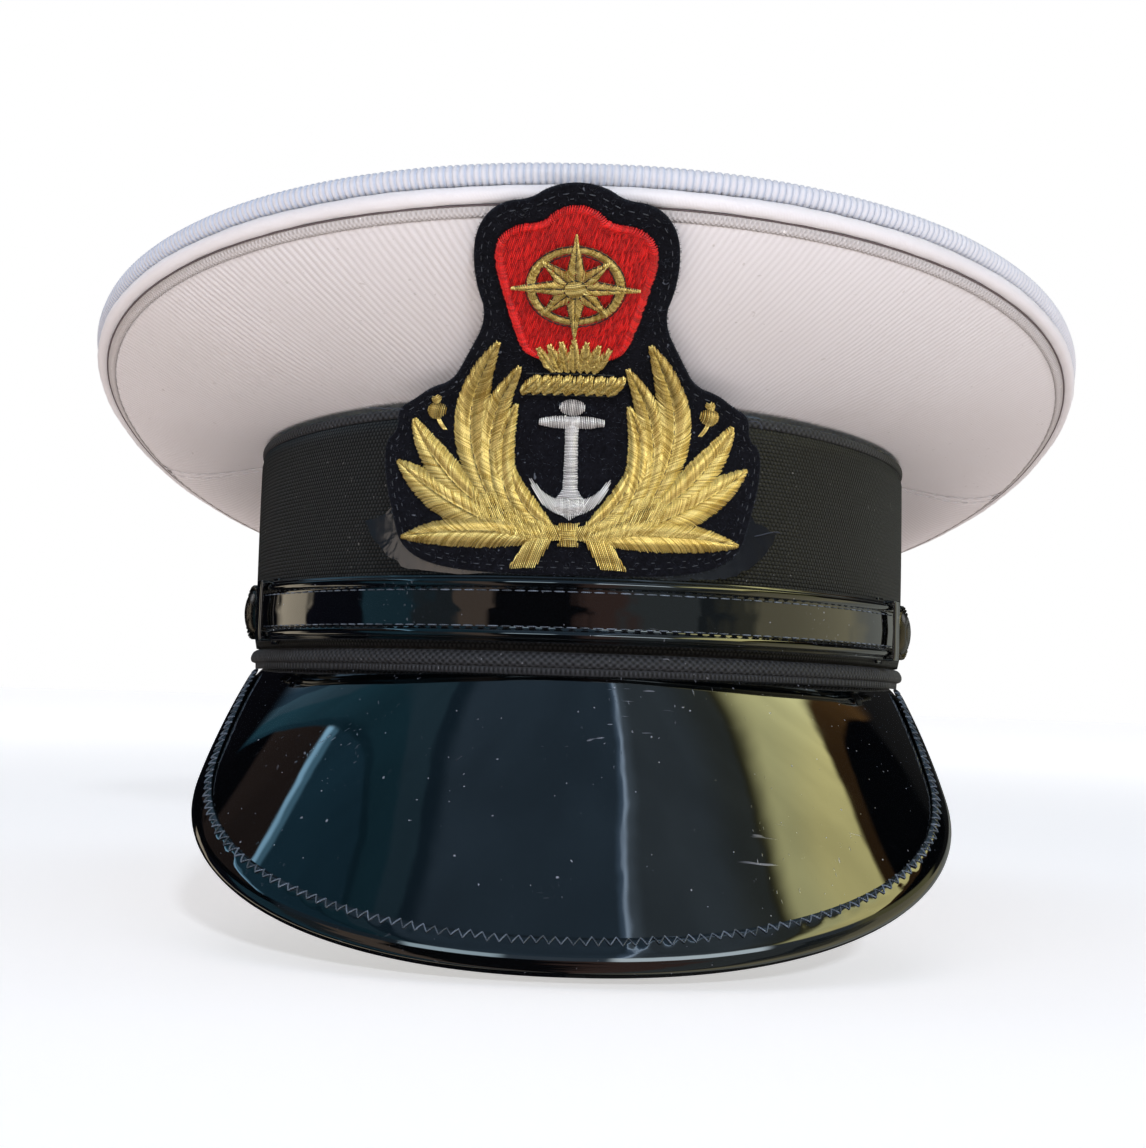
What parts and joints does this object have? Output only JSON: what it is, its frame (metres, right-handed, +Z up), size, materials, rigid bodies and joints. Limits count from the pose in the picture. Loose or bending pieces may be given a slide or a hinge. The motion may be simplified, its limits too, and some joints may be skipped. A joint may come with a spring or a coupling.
{
  "type": "military peaked cap",
  "caption": "Peaked uniform cap: white crown on a tilted wire hoop, black braided band, glossy steep visor, chin strap on side buttons and an embroidered wreath badge.",
  "frame": {"origin": "middle of the sweat shield's flat underside inside the crown, where a stand carries the cap, 60 mm above the band's lower edge", "axes": "-Y is the front (visor and badge), +X is the wearer's left, +Z is up through the crown"},
  "size_m": [0.2446, 0.2805, 0.1487],
  "materials": {
    "crown_top_panel": "white ribbed uniform cloth, smooth stretched",
    "crown_front_left_quarter": "white ribbed uniform cloth",
    "crown_front_right_quarter": "white ribbed uniform cloth",
    "crown_rear_left_quarter": "white ribbed uniform cloth",
    "crown_rear_right_quarter": "white ribbed uniform cloth",
    "crown_piping": "white smooth piping",
    "crown_edge_roll": "white cross-ribbed roll",
    "grommet_wire": "drawn wire",
    "grommet_sleeve": "satin",
    "front_stay": "stiffened canvas board",
    "crown_lining": "satin lining",
    "sweat_shield": "clear film",
    "cap_band": "black oak-weave braid",
    "band_stiffener": "fibre board",
    "band_top_welt": "black cloth",
    "band_bottom_welt": "black cloth, coarse",
    "sweatband": "brown, satin",
    "sweatband_reed": "satin",
    "sweatband_bow": "ribbon",
    "visor_skin": "black patent, mirror gloss",
    "visor_board": "fibre board",
    "visor_underlining": "dark green",
    "visor_binding": "black patent, gloss",
    "badge_patch": "black felt",
    "badge_backing": "stiff film",
    "badge_red_panel": "red satin stitch",
    "badge_star": "gold metallic thread",
    "badge_cord_bar": "gold metallic thread",
    "badge_anchor": "silver metallic thread",
    "badge_tie": "gold metallic thread",
    "badge_wreath_left": "gold metallic thread",
    "badge_wreath_right": "gold metallic thread",
    "badge_berry_left": "gold metallic thread",
    "badge_berry_right": "gold metallic thread",
    "chin_strap_front": "black patent, gloss",
    "chin_strap_rear": "black patent",
    "left_keeper": "black patent",
    "right_keeper": "black patent",
    "left_button": "blackened",
    "right_button": "blackened",
    "left_button_pin": "bright wire",
    "right_button_pin": "bright wire"
  },
  "bodies": {
    "cap": {"crown_top_panel": "crown_top_panel", "crown_front_left_quarter": "crown_front_left_quarter", "crown_front_right_quarter": "crown_front_right_quarter", "crown_rear_left_quarter": "crown_rear_left_quarter", "crown_rear_right_quarter": "crown_rear_right_quarter", "crown_piping": "crown_piping", "crown_edge_roll": "crown_edge_roll", "grommet_wire": "grommet_wire", "grommet_sleeve": "grommet_sleeve", "front_stay": "front_stay", "crown_lining": "crown_lining", "sweat_shield": "sweat_shield", "cap_band": "cap_band", "band_stiffener": "band_stiffener", "band_top_welt": "band_top_welt", "band_bottom_welt": "band_bottom_welt", "sweatband": "sweatband", "sweatband_reed": "sweatband_reed", "sweatband_bow": "sweatband_bow", "visor_skin": "visor_skin", "visor_board": "visor_board", "visor_underlining": "visor_underlining", "visor_binding": "visor_binding", "badge_patch": "badge_patch", "badge_backing": "badge_backing", "badge_red_panel": "badge_red_panel", "badge_star": "badge_star", "badge_cord_bar": "badge_cord_bar", "badge_anchor": "badge_anchor", "badge_tie": "badge_tie", "badge_wreath_left": "badge_wreath_left", "badge_wreath_right": "badge_wreath_right", "badge_berry_left": "badge_berry_left", "badge_berry_right": "badge_berry_right"},
    "chin_strap": {"chin_strap_front": "chin_strap_front", "chin_strap_rear": "chin_strap_rear"},
    "left_keeper": {"left_keeper": "left_keeper"},
    "right_keeper": {"right_keeper": "right_keeper"},
    "left_button": {"left_button": "left_button", "left_button_pin": "left_button_pin"},
    "right_button": {"right_button": "right_button", "right_button_pin": "right_button_pin"}
  },
  "joints": [
    {"name": "chin_strap_swing", "type": "hinge", "parent": "cap", "child": "chin_strap", "pos_m": [0, -0.04872, -0.0499], "axis": [1, 0, 0], "range_deg": [0, 2.5]},
    {"name": "left_keeper_slide", "type": "hinge", "parent": "chin_strap", "child": "left_keeper", "pos_m": [-0.03414, 0, -0.0499], "axis": [0, 0, -1], "range_deg": [0, 8]},
    {"name": "right_keeper_slide", "type": "hinge", "parent": "chin_strap", "child": "right_keeper", "pos_m": [0.03414, 0, -0.0499], "axis": [0, 0, 1], "range_deg": [0, 8]},
    {"name": "left_button_turn", "type": "hinge", "parent": "cap", "child": "left_button", "pos_m": [0.07379, -0.04805, -0.0499], "axis": [0.9135, -0.4067, 0], "continuous": true},
    {"name": "right_button_turn", "type": "hinge", "parent": "cap", "child": "right_button", "pos_m": [-0.07379, -0.04805, -0.0499], "axis": [-0.9135, -0.4067, 0], "continuous": true}
  ]
}
